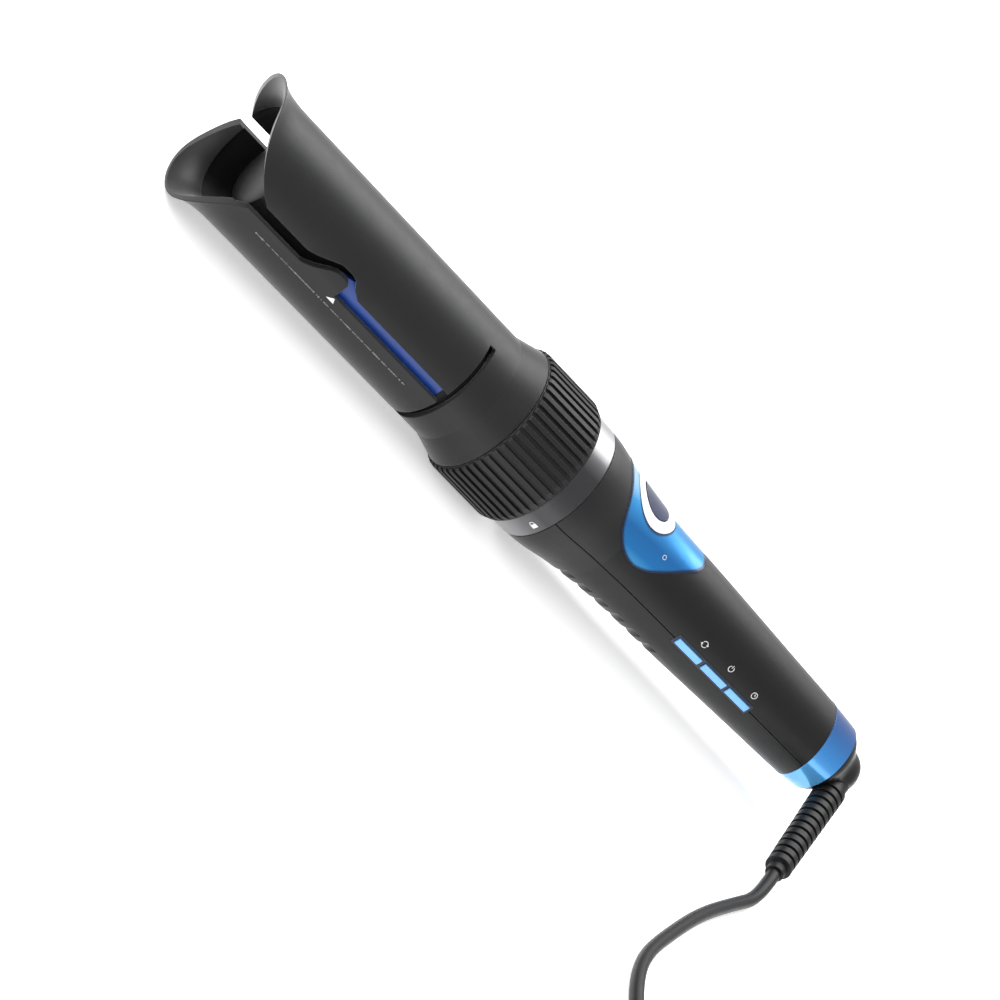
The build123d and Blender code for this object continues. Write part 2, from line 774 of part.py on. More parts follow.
# ---- Side keys -------------------------------------------------------------------------
key_heights = (parting_height - key_half_height, parting_height + key_half_height)
with BuildPart() as button_bezel:
    bezel_height = bezel_half_height - fit_gap
    bezel_stations = (bezel_span[0] + fit_gap, bezel_span[1] - fit_gap)
    bezel_heights = (parting_height - bezel_height, parting_height + bezel_height)
    window_heights = (key_heights[0] - running_gap, key_heights[1] + running_gap)
    revolve(skin_band(bezel_proud, -bezel_depth), axis=spindle)
    block(bezel_stations, side_reach, bezel_heights, mode=Mode.INTERSECT)
    for front, rear in key_spans.values():
        block((front - running_gap, rear + running_gap), side_reach, window_heights, mode=Mode.SUBTRACT)
finish_part(button_bezel, "button_bezel")

for key_name, key_stations in key_spans.items():
    with BuildPart() as key:
        revolve(skin_band(key_proud, -key_depth), axis=spindle)
        block(key_stations, (side_reach[0], key_inner), key_heights, mode=Mode.INTERSECT)
    finish_part(key, f"{key_name}_button")

with BuildPart() as key_board:
    block(*key_board_box)
finish_part(key_board, "key_board")

with BuildPart() as key_switches:
    for half, across in key_switch_boxes:
        for front, rear in key_spans.values():
            middle = (front + rear) / 2
            block((middle - half, middle + half), across, (parting_height - half, parting_height + half))
finish_part(key_switches, "key_switches")

with BuildPart() as heater_leads:
    pin_pair(*heater_lead_span, heater_lead_across, wire_height, wire_radius)
finish_part(heater_leads, "heater_leads")

with BuildPart() as supply_leads:
    pin_pair(*supply_lead_span, supply_lead_across, wire_height, wire_radius)
finish_part(supply_leads, "supply_leads")

# ---- Strain relief ---------------------------------------------------------------------
relief_axis = Vector(*relief_end) - Vector(*relief_start)
relief_plane = Plane(origin=relief_start, z_dir=relief_axis)
relief_length = relief_axis.length
with BuildPart() as strain_relief:
    with BuildSketch(relief_plane):
        Circle(relief_root_radius)
    with BuildSketch(relief_plane.offset(relief_length)):
        Circle(relief_mouth_radius)
    loft()
    for index in range(relief_rib_count):
        share = index / relief_rib_count
        along = relief_rib_start + share * (relief_length - relief_rib_room)
        with BuildSketch(relief_plane.offset(along)):
            Circle(relief_rib_radius - relief_rib_taper * share)
        extrude(amount=relief_rib_width)
finish_part(strain_relief, "strain_relief")

# ---- Tail ring and cord swivel ---------------------------------------------------------
with BuildPart() as tail_ring:
    revolve(skin_band(bezel_proud, -shell_wall), axis=spindle)
    split(bisect_by=tail_plane.offset(weld / 2), keep=Keep.TOP)
finish_part(tail_ring, "tail_ring")

with BuildPart() as swivel_bearing:
    tube_between(bearing_front, tail_end, bearing_radius, spindle_radius + bearing_gap)
finish_part(swivel_bearing, "swivel_bearing")

with BuildPart() as swivel_dome:
    with BuildSketch(side_plane()) as dome_profile:
        with BuildLine():
            cap = Spline(*cap_points)
            Polyline(
                cap @ 1, (spindle_front, 0), (spindle_front, spindle_radius),
                (cap_points[0][0], spindle_radius), cap @ 0,
            )
        make_face()
    revolve(dome_profile.sketch, axis=spindle)
    add(strain_relief.part, mode=Mode.SUBTRACT)
finish_part(swivel_dome, "swivel_dome")

with BuildPart() as swivel_clip:
    tube_between(*clip_span, clip_radius, spindle_radius)
finish_part(swivel_clip, "swivel_clip")

with BuildPart() as contact_disc:
    tube_between(*contact_span, contact_radius, spindle_radius)
finish_part(contact_disc, "contact_disc")

with BuildPart() as contact_brushes:
    for side in (-1, 1):
        block(brush_span, [side * across for across in brush_across], brush_heights)
finish_part(contact_brushes, "contact_brushes")


# ---- Cord, coil, tie and plug ----------------------------------------------------------
def bend_radii(points):
    """The largest radius that the two runs at each corner allow."""
    corners = [Vector(*point) for point in points]
    radii = []
    for before, corner, after in zip(corners, corners[1:], corners[2:]):
        first = corner - before
        second = after - corner
        half_turn = radians(first.get_angle(second) / 2)
        radii.append(arc_share * min(first.length, second.length) / tan(half_turn))
    return radii


def cord_along(points):
    """Round cord along straight runs and tangent arcs, in the part being built; returns its length."""
    radii = bend_radii(points)
    print("bend radii", [round(radius, 1) for radius in radii])
    with BuildLine() as route:
        FilletPolyline(*points, radius=radii)
    with BuildSketch(Plane(origin=route.line @ 0, z_dir=route.line % 0)) as section:
        Circle(cord_diameter / 2)
    sweep(section.sketch, path=route.line)
    return sum(edge.length for edge in route.edges())


coil_plane = Plane(origin=(*coil_centre, 0), x_dir=(1, 0, 0), z_dir=(0, -1, 0))
coil_size = (2 * coil_half_width, coil_height)
with BuildPart() as cord_coil:
    with BuildSketch(coil_plane) as coil_section:
        with Locations((coil_middle_radius, coil_height / 2)):
            RectangleRounded(*coil_size, coil_rounding)
    revolve(coil_section.sketch, axis=Axis((*coil_centre, 0), (0, 0, 1)))
finish_part(cord_coil, "cord_coil")

with BuildPart() as whole_tube:
    main_length = cord_along(cord_route)
    tail_length = cord_along(plug_route)
tube_volume = pi * (cord_diameter / 2) ** 2 * (main_length + tail_length)
print("tube volume", whole_tube.part.volume, "section times length", tube_volume)
with BuildPart() as cord_tube:
    add(whole_tube.part)
    add(cord_coil.part, mode=Mode.SUBTRACT)
finish_part(cord_tube, "cord_tube")

with BuildPart() as coil_tie:
    with BuildSketch(coil_plane) as tie_section:
        with Locations((coil_middle_radius, coil_height / 2 + weld / 2)):
            RectangleRounded(*[size + 2 * (tie_gap + tie_wall) for size in coil_size], tie_rounding)
            RectangleRounded(*[size + 2 * tie_gap for size in coil_size], coil_rounding, mode=Mode.SUBTRACT)
    extrude(tie_section.sketch, amount=tie_half_width, both=True)
    split(bisect_by=Plane.XY, keep=Keep.TOP)
finish_part(coil_tie, "coil_tie")

plug_heading = Vector(*plug_route[-1]) - Vector(*plug_route[-2])
plug_plane = Plane(origin=plug_route[-1], x_dir=(0, 0, 1), z_dir=(plug_heading.X, plug_heading.Y, 0))
with BuildPart() as plug_body:
    with BuildSketch(plug_plane):
        RectangleRounded(plug_neck_size, plug_neck_size, plug_rounding[0])
    with BuildSketch(plug_plane.offset(plug_neck_length)):
        RectangleRounded(*plug_size, plug_rounding[1])
    loft()
    with BuildSketch(plug_plane.offset(plug_neck_length)):
        RectangleRounded(*plug_size, plug_rounding[1])
    extrude(amount=plug_length - plug_neck_length)
finish_part(plug_body, "plug_body")

with BuildPart() as plug_blades:
    with BuildSketch(plug_plane.offset(plug_length)):
        with Locations((0, -blade_half_spacing), (0, blade_half_spacing)):
            Rectangle(*blade_size)
    extrude(amount=blade_length)
finish_part(plug_blades, "plug_blades")
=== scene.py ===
import json
import math
import random

import bmesh
import bpy
from mathutils import Matrix, Vector
from mathutils.bvhtree import BVHTree


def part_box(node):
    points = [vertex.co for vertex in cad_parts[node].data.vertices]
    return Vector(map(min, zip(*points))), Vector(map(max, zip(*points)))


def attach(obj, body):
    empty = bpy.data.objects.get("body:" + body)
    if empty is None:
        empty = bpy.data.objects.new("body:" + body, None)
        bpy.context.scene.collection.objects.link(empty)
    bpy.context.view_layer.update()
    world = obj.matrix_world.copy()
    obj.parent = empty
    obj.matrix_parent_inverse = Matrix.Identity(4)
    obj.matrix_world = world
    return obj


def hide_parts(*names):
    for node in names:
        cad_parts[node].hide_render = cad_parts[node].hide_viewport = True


# Automatic hair curler: looks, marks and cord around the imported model.  Metres throughout.

MM = 0.001
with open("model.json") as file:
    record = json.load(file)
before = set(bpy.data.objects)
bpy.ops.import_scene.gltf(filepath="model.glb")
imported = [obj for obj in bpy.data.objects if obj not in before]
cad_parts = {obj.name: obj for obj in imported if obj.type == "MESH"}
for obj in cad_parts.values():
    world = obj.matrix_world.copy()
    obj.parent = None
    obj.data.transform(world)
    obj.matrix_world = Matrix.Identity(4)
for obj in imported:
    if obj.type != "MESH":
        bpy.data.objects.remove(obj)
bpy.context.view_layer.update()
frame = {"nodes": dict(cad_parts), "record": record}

# Landmarks of the frame: the spindle's height, and the datum that stations in mm start from.
DOME_STATION = 350.0
ring_low, ring_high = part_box("lock_ring")
AXIS_Z = (ring_low.z + ring_high.z) / 2
DATUM_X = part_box("swivel_dome")[1].x - DOME_STATION * MM

# The cover's bore starts where the mouth's funnel ends, and is all inside one radius; painted shade
# darkens the bore there.
FUNNEL_END_X = DATUM_X + 18.3 * MM
BORE_LIMIT = 21.3 * MM


# ---- Camera -----------------------------------------------------------------------------
CAMERA_AZIMUTH = -29.47
CAMERA_ELEVATION = 20.41
CAMERA_ROLL = 57.04
CAMERA_DISTANCE = 2.200
CAMERA_TARGET = Vector((-0.0068, -0.0131, 0.0123))
CAMERA_LENS = 234.3
CAMERA_SENSOR = 36.0
CAMERA_REACH = 20.0


def direction_to(azimuth, elevation):
    """Unit vector at an azimuth from -Y towards +X and an elevation, in degrees."""
    a, e = math.radians(azimuth), math.radians(elevation)
    return Vector((math.sin(a) * math.cos(e), -math.cos(a) * math.cos(e), math.sin(e)))


def make_camera():
    """Camera on the side of the keys, rolled so that the tool lies corner to corner."""
    back = direction_to(CAMERA_AZIMUTH, CAMERA_ELEVATION)
    data = bpy.data.cameras.new("camera")
    data.lens = CAMERA_LENS
    data.sensor_width = CAMERA_SENSOR
    data.clip_end = CAMERA_REACH
    camera = bpy.data.objects.new("camera", data)
    camera.location = CAMERA_TARGET + back * CAMERA_DISTANCE
    level = (-back).to_track_quat("-Z", "Y").to_matrix()
    roll = Matrix.Rotation(math.radians(CAMERA_ROLL), 3, "Z")
    camera.rotation_euler = (level @ roll).to_euler()
    bpy.context.scene.collection.objects.link(camera)
    bpy.context.scene.camera = camera


make_camera()


# ---- Cord -------------------------------------------------------------------------------
CORD_DIAMETER = 0.005
FLOOR_HEIGHT = 0.0026
CORD_ROUTE = [
    (0.1515, -0.0565, 0.0072),
    (0.1465, -0.0720, 0.0032),
    (0.1320, -0.0885, FLOOR_HEIGHT),
    (0.1125, -0.1125, FLOOR_HEIGHT),
    (0.0950, -0.1390, FLOOR_HEIGHT),
    (0.0780, -0.1670, FLOOR_HEIGHT),
    (0.0725, -0.1890, FLOOR_HEIGHT),
    (0.0730, -0.2140, FLOOR_HEIGHT),
    (0.0684, -0.2390, FLOOR_HEIGHT),
]
PLUG_ROUTE = [
    (0.1055, -0.2970, 0.0127),
    (0.1235, -0.2965, 0.0113),
    (0.1395, -0.2977, 0.0088),
    (0.1555, -0.3000, 0.0079),
]
COIL_CENTRE = Vector((0.1035, -0.262, 0))
COIL_RADIUS = 0.030
TURN_PITCH = 0.0051
TURN_POINTS = 16
COIL_TURNS = 8.25
COIL_START = 180.0
# Degrees wound before the first change of place, between changes, and during one.
FIRST_CHANGE = 330.0
CHANGE_EVERY = 330.0
CHANGE_SPAN = 90.0
# Places of the turns in the coil's section, as (columns outward, rows up).
TURN_PLACES = [(1, 0), (0, 0), (-1, 0), (-1, 1), (-1, 2), (0, 2), (0, 1), (1, 1), (1, 2)]


def turn_place(turned):
    """Column and row in the coil's section after so many degrees, eased over each change."""
    done = max((turned - FIRST_CHANGE) / CHANGE_EVERY + 1, 0)
    index = min(int(done), len(TURN_PLACES) - 1)
    since = min((done - index) * CHANGE_EVERY / CHANGE_SPAN, 1)
    eased = since * since * (3 - 2 * since)
    before = Vector(TURN_PLACES[max(index - 1, 0)])
    return before.lerp(Vector(TURN_PLACES[index]), eased)


def coil_points():
    """Control points of the wound part, each turn beside or on the one before."""
    points = []
    spread = 1 / math.cos(math.pi / TURN_POINTS)
    step = 360 / TURN_POINTS
    for index in range(int(COIL_TURNS * TURN_POINTS)):
        turned = index * step
        column, row = turn_place(turned)
        radius = (COIL_RADIUS + column * TURN_PITCH) * spread
        angle = math.radians(COIL_START + turned)
        height = FLOOR_HEIGHT + row * TURN_PITCH
        offset = Vector((radius * math.cos(angle), radius * math.sin(angle), height))
        points.append(COIL_CENTRE + offset)
    return points


def make_cord():
    """The free cord as one smooth curve from the strain relief to the plug."""
    points = [Vector(p) for p in CORD_ROUTE] + coil_points() + [Vector(p) for p in PLUG_ROUTE]
    data = bpy.data.curves.new("cord", "CURVE")
    data.dimensions = "3D"
    data.bevel_depth = 1.0
    data.bevel_resolution = 5
    data.resolution_u = 6
    data.use_fill_caps = True
    spline = data.splines.new("NURBS")
    spline.points.add(len(points) - 1)
    for target, point in zip(spline.points, points):
        target.co = (*point, 1)
        target.radius = CORD_DIAMETER / 2
    spline.order_u = 3
    spline.use_endpoint_u = True
    cord = bpy.data.objects.new("cord", data)
    bpy.context.scene.collection.objects.link(cord)
    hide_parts("cord_tube", "cord_coil")
    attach(cord, "cord_swivel")
    return cord


cord = make_cord()


# ---- Materials --------------------------------------------------------------------------
MOTTLE_SCALE = 60
WEAR_SCALE = 240
WEAR_SPREAD = 0.12
SHEEN_ROUGHNESS = 0.35
MOULDED_COAT_ROUGHNESS = 0.06
FLAKE_SCALE = 3000
FLAKE_SPREAD = 0.2
GRADED_GRAIN = 2500
GRADED_DEPTH = 0.000004
GRADED_ROUNDING = 0.0004
GRADED_COAT_ROUGHNESS = 0.05
RIM_WIDTH = 2.2 * MM
# How well the rounded and the true normal agree where a rim ends, dark to clear.
RIM_AGREEMENT = (0.9, 0.985)


def linear(hex_colour):
    """Linear RGBA from an sRGB hex colour."""
    channels = [int(hex_colour[i:i + 2], 16) / 255 for i in (0, 2, 4)]
    return [c / 12.92 if c <= 0.04045 else ((c + 0.055) / 1.055) ** 2.4 for c in channels] + [1.0]


class Recipe:
    """A node material built step by step on one Principled shader."""

    def __init__(self, name):
        self.material = bpy.data.materials.new(name)
        self.material.use_nodes = True
        self.tree = self.material.node_tree
        self.shader = self.tree.nodes["Principled BSDF"]
        self.coordinates = self.add("ShaderNodeTexCoord").outputs["Object"]

    def add(self, kind, **settings):
        node = self.tree.nodes.new(kind)
        for key, value in settings.items():
            setattr(node, key, value)
        return node

    def link(self, output, target):
        self.tree.links.new(output, target)

    def noise(self, scale, detail=3.0, stretch=(1, 1, 1)):
        """Noise over the object's own space, in cells per metre."""
        mapping = self.add("ShaderNodeMapping")
        mapping.inputs["Scale"].default_value = stretch
        self.link(self.coordinates, mapping.inputs["Vector"])
        node = self.add("ShaderNodeTexNoise")
        node.inputs["Scale"].default_value = scale
        node.inputs["Detail"].default_value = detail
        self.link(mapping.outputs["Vector"], node.inputs["Vector"])
        return node.outputs["Fac"]

    def ramp(self, source, stops):
        """Colour ramp from (position, colour) stops."""
        node = self.add("ShaderNodeValToRGB")
        elements = node.color_ramp.elements
        while len(elements) < len(stops):
            elements.new(0.5)
        for element, (position, colour) in zip(elements, stops):
            element.position = position
            element.color = colour
        self.link(source, node.inputs["Fac"])
        return node.outputs["Color"]

    def spread(self, source, low, high):
        """Value between low and high."""
        node = self.add("ShaderNodeMapRange")
        node.inputs["To Min"].default_value = low
        node.inputs["To Max"].default_value = high
        self.link(source, node.inputs["Value"])
        return node.outputs["Result"]

    def painted_bore_shade(self, surface, colour):
        """The surface, with painted shade: changed to a darker colour on the cover's bore behind the
        mouth's funnel.
        """
        centre = self.add("ShaderNodeVectorMath", operation="SUBTRACT")
        centre.inputs[1].default_value = (0, 0, AXIS_Z)
        self.link(self.coordinates, centre.inputs[0])
        split = self.add("ShaderNodeSeparateXYZ")
        self.link(centre.outputs["Vector"], split.inputs["Vector"])
        flat = self.add("ShaderNodeCombineXYZ")
        self.link(split.outputs["Y"], flat.inputs["Y"])
        self.link(split.outputs["Z"], flat.inputs["Z"])
        radius = self.add("ShaderNodeVectorMath", operation="LENGTH")
        self.link(flat.outputs["Vector"], radius.inputs[0])
        inner = self.add("ShaderNodeMath", operation="LESS_THAN")
        inner.inputs[1].default_value = BORE_LIMIT
        self.link(radius.outputs["Value"], inner.inputs[0])
        behind = self.add("ShaderNodeMath", operation="GREATER_THAN")
        behind.inputs[1].default_value = FUNNEL_END_X
        self.link(split.outputs["X"], behind.inputs[0])
        both = self.add("ShaderNodeMath", operation="MULTIPLY")
        self.link(inner.outputs["Value"], both.inputs[0])
        self.link(behind.outputs["Value"], both.inputs[1])
        mix = self.add("ShaderNodeMix", data_type="RGBA")
        self.link(both.outputs["Value"], mix.inputs[0])
        self.link(surface, mix.inputs[6])
        mix.inputs[7].default_value = colour
        return mix.outputs[2]

    def rimmed(self, surface, colour):
        """The surface, changed to another colour in a narrow band along its sharp edges."""
        rounded = self.add("ShaderNodeBevel", samples=8)
        rounded.inputs["Radius"].default_value = RIM_WIDTH
        flat = self.add("ShaderNodeNewGeometry")
        match = self.add("ShaderNodeVectorMath", operation="DOT_PRODUCT")
        self.link(rounded.outputs["Normal"], match.inputs[0])
        self.link(flat.outputs["True Normal"], match.inputs[1])
        band = self.add("ShaderNodeMapRange")
        band.inputs["From Min"].default_value, band.inputs["From Max"].default_value = RIM_AGREEMENT
        self.link(match.outputs["Value"], band.inputs["Value"])
        mix = self.add("ShaderNodeMix", data_type="RGBA")
        self.link(band.outputs["Result"], mix.inputs[0])
        mix.inputs[6].default_value = colour
        self.link(surface, mix.inputs[7])
        return mix.outputs[2]

    def bump(self, height, depth, rounding=0.0003):
        """Fine relief of a depth in metres, on edges softened by a small round."""
        bevel = self.add("ShaderNodeBevel", samples=4)
        bevel.inputs["Radius"].default_value = rounding
        node = self.add("ShaderNodeBump")
        node.inputs["Distance"].default_value = depth
        node.inputs["Strength"].default_value = 1.0
        self.link(height, node.inputs["Height"])
        self.link(bevel.outputs["Normal"], node.inputs["Normal"])
        self.link(node.outputs["Normal"], self.shader.inputs["Normal"])


def tinted(colour, factor):
    """The colour made lighter or darker."""
    return [min(c * factor, 1.0) for c in colour[:3]] + [1.0]


def moulded(
    name, colour, roughness, grain=900, depth=0.00003, variation=0.12,
    metallic=0.0, coat=0.0, stretch=(1, 1, 1), rounding=0.0003,
    specular=0.5, sheen=0.0, bore_shade_colour=None,
):
    """Moulded, coated or turned surface with fine grain and slight unevenness."""
    recipe = Recipe(name)
    base = linear(colour)
    mottle = recipe.noise(MOTTLE_SCALE, 4, stretch)
    shades = [(0.3, tinted(base, 1 - variation)), (0.7, tinted(base, 1 + variation))]
    surface = recipe.ramp(mottle, shades)
    # Painted shade: the cover's bore behind the mouth's funnel is made much darker, as if shade fell
    # deep inside it.
    if bore_shade_colour:
        surface = recipe.painted_bore_shade(surface, linear(bore_shade_colour))
    recipe.link(surface, recipe.shader.inputs["Base Color"])
    recipe.shader.inputs["Sheen Weight"].default_value = sheen
    recipe.shader.inputs["Sheen Roughness"].default_value = SHEEN_ROUGHNESS
    smooth, worn_down = roughness * (1 - WEAR_SPREAD), min(roughness * (1 + WEAR_SPREAD), 1)
    worn = recipe.spread(recipe.noise(WEAR_SCALE, 3, stretch), smooth, worn_down)
    recipe.link(worn, recipe.shader.inputs["Roughness"])
    recipe.shader.inputs["Metallic"].default_value = metallic
    recipe.shader.inputs["Coat Weight"].default_value = coat
    recipe.shader.inputs["Coat Roughness"].default_value = MOULDED_COAT_ROUGHNESS
    recipe.shader.inputs["Specular IOR Level"].default_value = specular
    recipe.bump(recipe.noise(grain * 4, 2, stretch), depth, rounding)
    return recipe.material


def painted_light_by_height(name, stops, low, high, roughness=0.22, metallic=0.55, coat=0.6, edge=None):
    """Metallic surface whose colour is painted light and shade, graded between two heights in metres,
    with a rim colour if one is given.
    """
    recipe = Recipe(name)
    split = recipe.add("ShaderNodeSeparateXYZ")
    recipe.link(recipe.coordinates, split.inputs["Vector"])
    span = recipe.add("ShaderNodeMapRange")
    span.inputs["From Min"].default_value = low
    span.inputs["From Max"].default_value = high
    recipe.link(split.outputs["Z"], span.inputs["Value"])
    linear_stops = [(place, linear(colour)) for place, colour in stops]
    shade = recipe.ramp(span.outputs["Result"], linear_stops)
    if edge:
        shade = recipe.rimmed(shade, linear(edge))
    recipe.link(shade, recipe.shader.inputs["Base Color"])
    fine, coarse = roughness * (1 - FLAKE_SPREAD), roughness * (1 + FLAKE_SPREAD)
    flakes = recipe.spread(recipe.noise(FLAKE_SCALE, 2), fine, coarse)
    recipe.link(flakes, recipe.shader.inputs["Roughness"])
    recipe.shader.inputs["Metallic"].default_value = metallic
    recipe.shader.inputs["Coat Weight"].default_value = coat
    recipe.shader.inputs["Coat Roughness"].default_value = GRADED_COAT_ROUGHNESS
    recipe.bump(recipe.noise(GRADED_GRAIN, 2), GRADED_DEPTH, GRADED_ROUNDING)
    return recipe.material


def make_materials():
    """One material for each slot of the record."""
    brushed = (1, 12, 12)
    tail_low, tail_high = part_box("tail_ring")
    panel_low, panel_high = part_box("panel_lens")
    # Painted highlight: the panel is darkest in its middle, lighter at its bottom and almost white at
    # its top.
    panel_painted_highlight = [
        (0.0, "3f9bd6"), (0.22, "0a6db0"), (0.5, "0060a2"), (0.78, "2c8fd0"), (1.0, "b4dcf7"),
    ]
    band_low, band_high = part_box("mark_ring")
    # Painted highlights: the ring is light near its top and bottom and dark in its middle.
    band_painted_highlights = [
        (0.0, "b4b4b6"), (0.14, "a2a2a4"), (0.3, "68686a"), (0.42, "3e3e40"),
        (0.84, "3e3e40"), (0.92, "68686a"), (0.965, "a0a0a2"), (1.0, "b2b2b4"),
    ]
    # Painted light and shade: the tail ring is light blue at its bottom and dark navy at its top.
    tail_painted_light = [(0.0, "4aa6ea"), (0.35, "68baf6"), (0.7, "2c85cf"), (1.0, "0f3f7c")]
    return {
        # The cover's shell, with painted shade on its bore behind the funnel.
        "charcoal_shell": moulded(
            "charcoal_shell", "121213", 0.44, 700, 0.00003, 0.06,
            rounding=0.0005, specular=0.3, sheen=0.3, bore_shade_colour="040404",
        ),
        "black_grip": moulded("black_grip", "131314", 0.45, 600, 0.00003, 0.08, specular=0.3),
        "satin_ring": painted_light_by_height("satin_ring", band_painted_highlights, band_low.z, band_high.z, 0.34, 0.8, coat=0.0),
        "rotor_blue": moulded("rotor_blue", "123f94", 0.35, 700, 0.00001, 0.08),
        "barrel_coat": moulded("barrel_coat", "3a3a3c", 0.32, 900, 0.00001, 0.06, metallic=0.5),
        "tip_black": moulded(
            "tip_black", "0d0d0e", 0.35, 700, 0.00002, 0.06, rounding=0.0005, specular=0.3
        ),
        "bush_plastic": moulded("bush_plastic", "101010", 0.5, 500, 0.00003, specular=0.2),
        "chassis_grey": moulded("chassis_grey", "3d3d40", 0.5, 600, 0.00003),
        "steel": moulded("steel", "b9babd", 0.3, 900, 0.000008, 0.05, metallic=1.0, stretch=brushed),
        "spreader_alloy": moulded("spreader_alloy", "cfd0d2", 0.35, 500, 0.00001, 0.04, metallic=1.0),
        "heater_ceramic": moulded("heater_ceramic", "d9d3c4", 0.6, 500, 0.00002),
        "gear_nylon": moulded("gear_nylon", "e4e0d2", 0.4, 500, 0.00001),
        "brass_gear": moulded("brass_gear", "d2a955", 0.28, 900, 0.000006, 0.05, metallic=1.0),
        "panel_blue": painted_light_by_height(
            "panel_blue", panel_painted_highlight, panel_low.z, panel_high.z, coat=0.3, edge="0a1a3c"
        ),
        "light_white": moulded("light_white", "f4f8fb", 0.3, 700, 0.000004, 0.02, coat=0.3),
        "disc_navy": moulded("disc_navy", "0c1c44", 0.16, 900, 0.000003, 0.1, coat=0.6),
        "bezel_navy": moulded("bezel_navy", "0d1630", 0.35, 800, 0.00001, 0.1),
        "key_blue": moulded("key_blue", "6fb0ea", 0.3, 800, 0.000008, 0.04, coat=0.2),
        "board_green": moulded("board_green", "1f5a33", 0.4, 900, 0.00001),
        "board_black": moulded("board_black", "1a1a1a", 0.5, 800, 0.00002),
        "wire_red": moulded("wire_red", "9c2420", 0.45, 800, 0.00001),
        "tail_blue": painted_light_by_height("tail_blue", tail_painted_light, tail_low.z, tail_high.z, 0.2, 0.45),
        "copper": moulded("copper", "d98f5e", 0.25, 900, 0.000006, 0.06, metallic=1.0),
        "cord_black": moulded("cord_black", "101011", 0.45, 800, 0.00002, 0.06, specular=0.25),
        "tie_black": moulded("tie_black", "202020", 0.6, 500, 0.00003),
    }


materials = make_materials()
for row in frame["record"]["subparts"]:
    mesh = frame["nodes"][row["node"]].data
    mesh.materials.clear()
    mesh.materials.append(materials[row["material_slot"]])
cord.data.materials.append(materials["cord_black"])


# ---- Printed marks ----------------------------------------------------------------------
MARK_THICKNESS = 0.00005
CLEAR_OF_SKIN = 0.04


def node_tree_of(node):
    """Search tree over a CAD node's surface."""
    mesh = frame["nodes"][node].data
    return BVHTree.FromPolygons([v.co for v in mesh.vertices], [p.vertices for p in mesh.polygons])


def axis_point(station):
    """Point on the spindle at a station in mm."""
    return Vector((DATUM_X + station * MM, 0, AXIS_Z))


def skin_point(tree, station, angle):
    """Point on a node's outside at a station in mm and an angle in degrees from +Z towards -Y."""
    a = math.radians(angle)
    outward = Vector((0, -math.sin(a), math.cos(a)))
    start = axis_point(station) + outward * CLEAR_OF_SKIN
    place, _, _, _ = tree.ray_cast(start, -outward)
    return place, outward


def bar(x0, y0, x1, y1, width):
    """Quad along a stroke, in mm: x towards the cord end, y up round the skin."""
    along = Vector((x1 - x0, y1 - y0)).normalized()
    side = Vector((-along.y, along.x)) * width / 2
    first, last = Vector((x0, y0)), Vector((x1, y1))
    return [first - side, last - side, last + side, first + side]


def arc(cx, cy, radius, start, end, width, steps=14):
    """Quads along a circular stroke."""
    quads = []
    for index in range(steps):
        a0 = math.radians(start + (end - start) * index / steps)
        a1 = math.radians(start + (end - start) * (index + 1) / steps)
        inner, outer = radius - width / 2, radius + width / 2
        corners = [(inner, a0), (outer, a0), (outer, a1), (inner, a1)]
        quads.append([Vector((cx + r * math.cos(a), cy + r * math.sin(a))) for r, a in corners])
    return quads


def make_mark(name, node, body, strokes, station, angle, material):
    """Thin printed mark laid on a CAD node's skin."""
    tree = node_tree_of(node)
    middle, _ = skin_point(tree, station, angle)
    skin_radius = (middle - axis_point(station)).length / MM
    bm = bmesh.new()
    for outline in strokes:
        low, high = [], []
        for point in outline:
            turned = angle - math.degrees(point.y / skin_radius)
            place, outward = skin_point(tree, station + point.x, turned)
            low.append(bm.verts.new(place - outward * MARK_THICKNESS))
            high.append(bm.verts.new(place + outward * MARK_THICKNESS))
        bm.faces.new(high)
        bm.faces.new(list(reversed(low)))
        for index in range(len(low)):
            after = (index + 1) % len(low)
            bm.faces.new([low[index], low[after], high[after], high[index]])
    bmesh.ops.recalc_face_normals(bm, faces=bm.faces)
    mesh = bpy.data.meshes.new(name)
    bm.to_mesh(mesh)
    bm.free()
    mesh.materials.append(material)
    mark = bpy.data.objects.new(name, mesh)
    bpy.context.scene.collection.objects.link(mark)
    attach(mark, body)


def tick_line(length, seed):
    """Row of short plain ticks of uneven length, in mm."""
    chance = random.Random(seed)
    strokes = []
    x = 0.0
    while x < length:
        run = chance.choice((0.35, 0.5, 0.7, 0.9))
        tall = chance.choice((0.3, 0.45, 0.6))
        strokes.append(bar(x, 0, x + run, 0, tall))
        x += run + chance.choice((0.2, 0.3, 0.9))
    return strokes


def padlock():
    """Closed padlock, its shackle towards the mouth."""
    body = [Vector(p) for p in ((-0.3, -1.1), (1.5, -1.1), (1.5, 1.1), (-0.3, 1.1))]
    shackle = arc(-0.7, 0, 0.75, 90, 270, 0.35)
    legs = [bar(-0.75, side * 0.75, -0.2, side * 0.75, 0.35) for side in (-1, 1)]
    return [body] + shackle + legs


def turn_arrows():
    """Two arrows that turn opposite ways."""
    strokes = arc(0, 0, 1.2, 20, 160, 0.28) + arc(0, 0, 1.2, 200, 340, 0.28)
    heads = [((1.75, 0.5), (0.6, 0.55), (1.15, -0.25)), ((-1.75, -0.5), (-0.6, -0.55), (-1.15, 0.25))]
    return strokes + [[Vector(p) for p in head] for head in heads]


def power_mark():
    """Broken ring with a bar."""
    return arc(0, 0, 1.1, 120, 420, 0.28) + [bar(0, 0.3, 0, 1.5, 0.28)]


def clock_mark():
    """Ring with two hands."""
    return arc(0, 0, 1.15, 0, 360, 0.26, 20) + [bar(0, 0, 0, 0.8, 0.24), bar(0, 0, 0.6, 0, 0.24)]


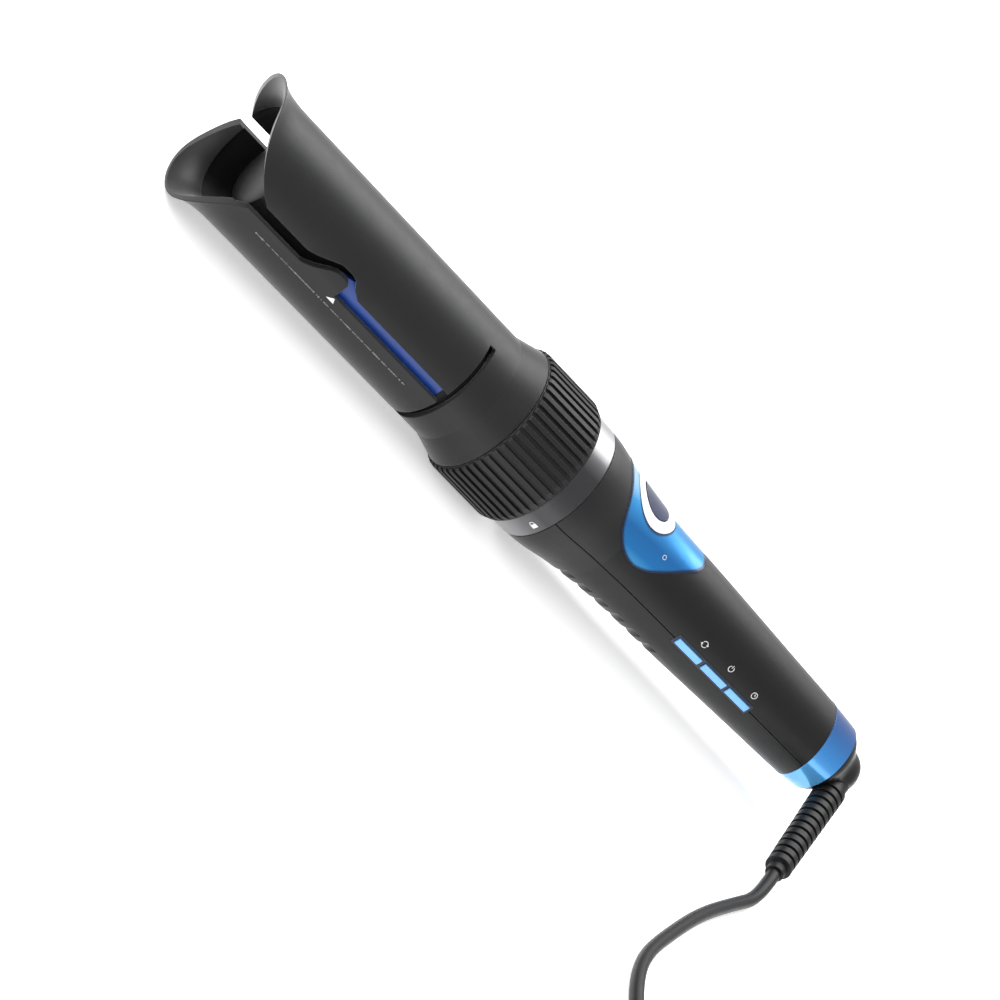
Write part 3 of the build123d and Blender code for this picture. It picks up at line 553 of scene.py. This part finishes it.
print_white = moulded("print_white", "dedede", 0.55, 900, 0.000004, 0.03)
print_grey = moulded("print_grey", "7a7a7a", 0.55, 900, 0.000004, 0.03)
triangle = [[Vector(p) for p in ((-1.9, -0.9), (1.9, -0.9), (0.5, 1.0))]]
shell = "handle_upper_shell"
panel_ring = arc(0, 0, 0.8, 0, 360, 0.2, 18)
# Name, node it is printed on, body it rides on, strokes, station in mm, angle in degrees, ink.
marks = [
    ("petal_triangle", "outer_cover", "cover", triangle, 66.6, 99.5, print_white),
    ("petal_ticks", "outer_cover", "cover", tick_line(78, 5), 31.0, 107.0, print_grey),
    ("lock_mark", "mark_ring", "handle", padlock(), 179.6, 108.4, print_white),
    ("direction_mark", shell, "handle", turn_arrows(), 259.5, 76.0, print_white),
    ("power_mark", shell, "handle", power_mark(), 274.0, 74.0, print_white),
    ("time_mark", shell, "handle", clock_mark(), 288.5, 76.5, print_white),
    ("panel_mark", "panel_lens", "handle", panel_ring, 224.0, 44.0, print_white),
]
for mark in marks:
    make_mark(*mark)


# ---- Floor, world and lights ------------------------------------------------------------
FLOOR_REACH = 6.0
FLOOR_GLOW = 0.45
WORLD_STRENGTH = 0.8


def make_floor():
    """Pale floor under the object, with a faint glow that keeps its shadows light."""
    mesh = bpy.data.meshes.new("floor")
    quarters = [(-1, -1), (1, -1), (1, 1), (-1, 1)]
    corners = [(x * FLOOR_REACH, y * FLOOR_REACH, 0) for x, y in quarters]
    mesh.from_pydata(corners, [], [(0, 1, 2, 3)])
    paper = moulded("floor_paper", "f7f7f7", 0.9, 200, 0.00002, 0.005)
    shader = paper.node_tree.nodes["Principled BSDF"]
    shader.inputs["Emission Color"].default_value = (1, 1, 1, 1)
    shader.inputs["Emission Strength"].default_value = FLOOR_GLOW
    mesh.materials.append(paper)
    floor = bpy.data.objects.new("floor", mesh)
    bpy.context.scene.collection.objects.link(floor)


def area_light(name, azimuth, elevation, distance, size, power):
    """Soft light aimed at the middle of the tool."""
    away = direction_to(azimuth, elevation)
    data = bpy.data.lights.new(name, "AREA")
    data.shape = "RECTANGLE"
    data.size, data.size_y = size
    data.energy = power
    light = bpy.data.objects.new(name, data)
    light.location = Vector((0, 0, AXIS_Z)) + away * distance
    light.rotation_euler = (-away).to_track_quat("-Z", "Y").to_euler()
    bpy.context.scene.collection.objects.link(light)


make_floor()
area_light("sky_strip", azimuth=180, elevation=62, distance=1.2, size=(1.6, 0.9), power=24)
area_light("front_fill", azimuth=-60, elevation=30, distance=1.6, size=(1.6, 1.4), power=12)
world = bpy.data.worlds.new("studio")
world.use_nodes = True
background = world.node_tree.nodes["Background"]
background.inputs["Color"].default_value = (1, 1, 1, 1)
background.inputs["Strength"].default_value = WORLD_STRENGTH
bpy.context.scene.world = world
bpy.context.scene.view_settings.view_transform = "Standard"
